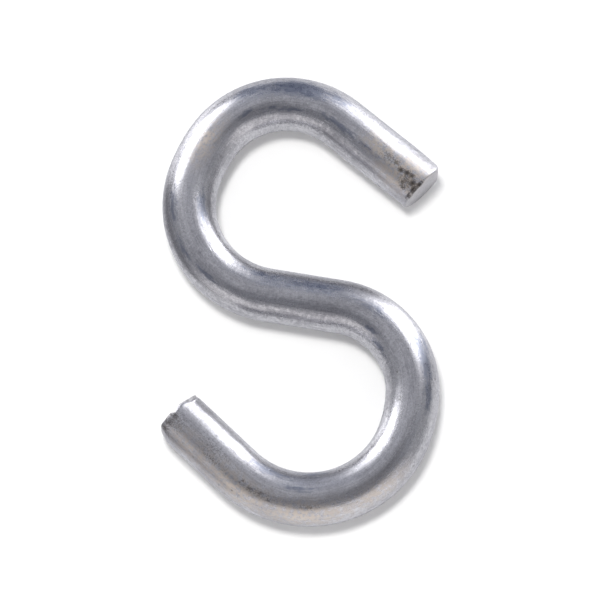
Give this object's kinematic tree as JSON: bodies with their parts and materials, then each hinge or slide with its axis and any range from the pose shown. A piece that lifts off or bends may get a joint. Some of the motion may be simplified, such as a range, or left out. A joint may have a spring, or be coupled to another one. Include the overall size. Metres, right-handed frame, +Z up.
{
  "type": "s hook",
  "caption": "S-shaped hook bent from round wire, open at both ends, that joins a chain, ring or rope to another by hanging in each.",
  "frame": {"origin": "on the surface the hook lies on, under the middle of its outline", "axes": "+Y along the hook towards its upper end, +X to the right as its S reads, +Z up from the surface it lies on"},
  "size_m": [0.023, 0.0384, 0.0045],
  "materials": {
    "zinc_plated_steel": "bright zinc plating over drawn steel wire, semi-gloss, faintly mottled, with light scuffs"
  },
  "bodies": {
    "root": {"s_hook": "zinc_plated_steel"}
  },
  "joints": []
}
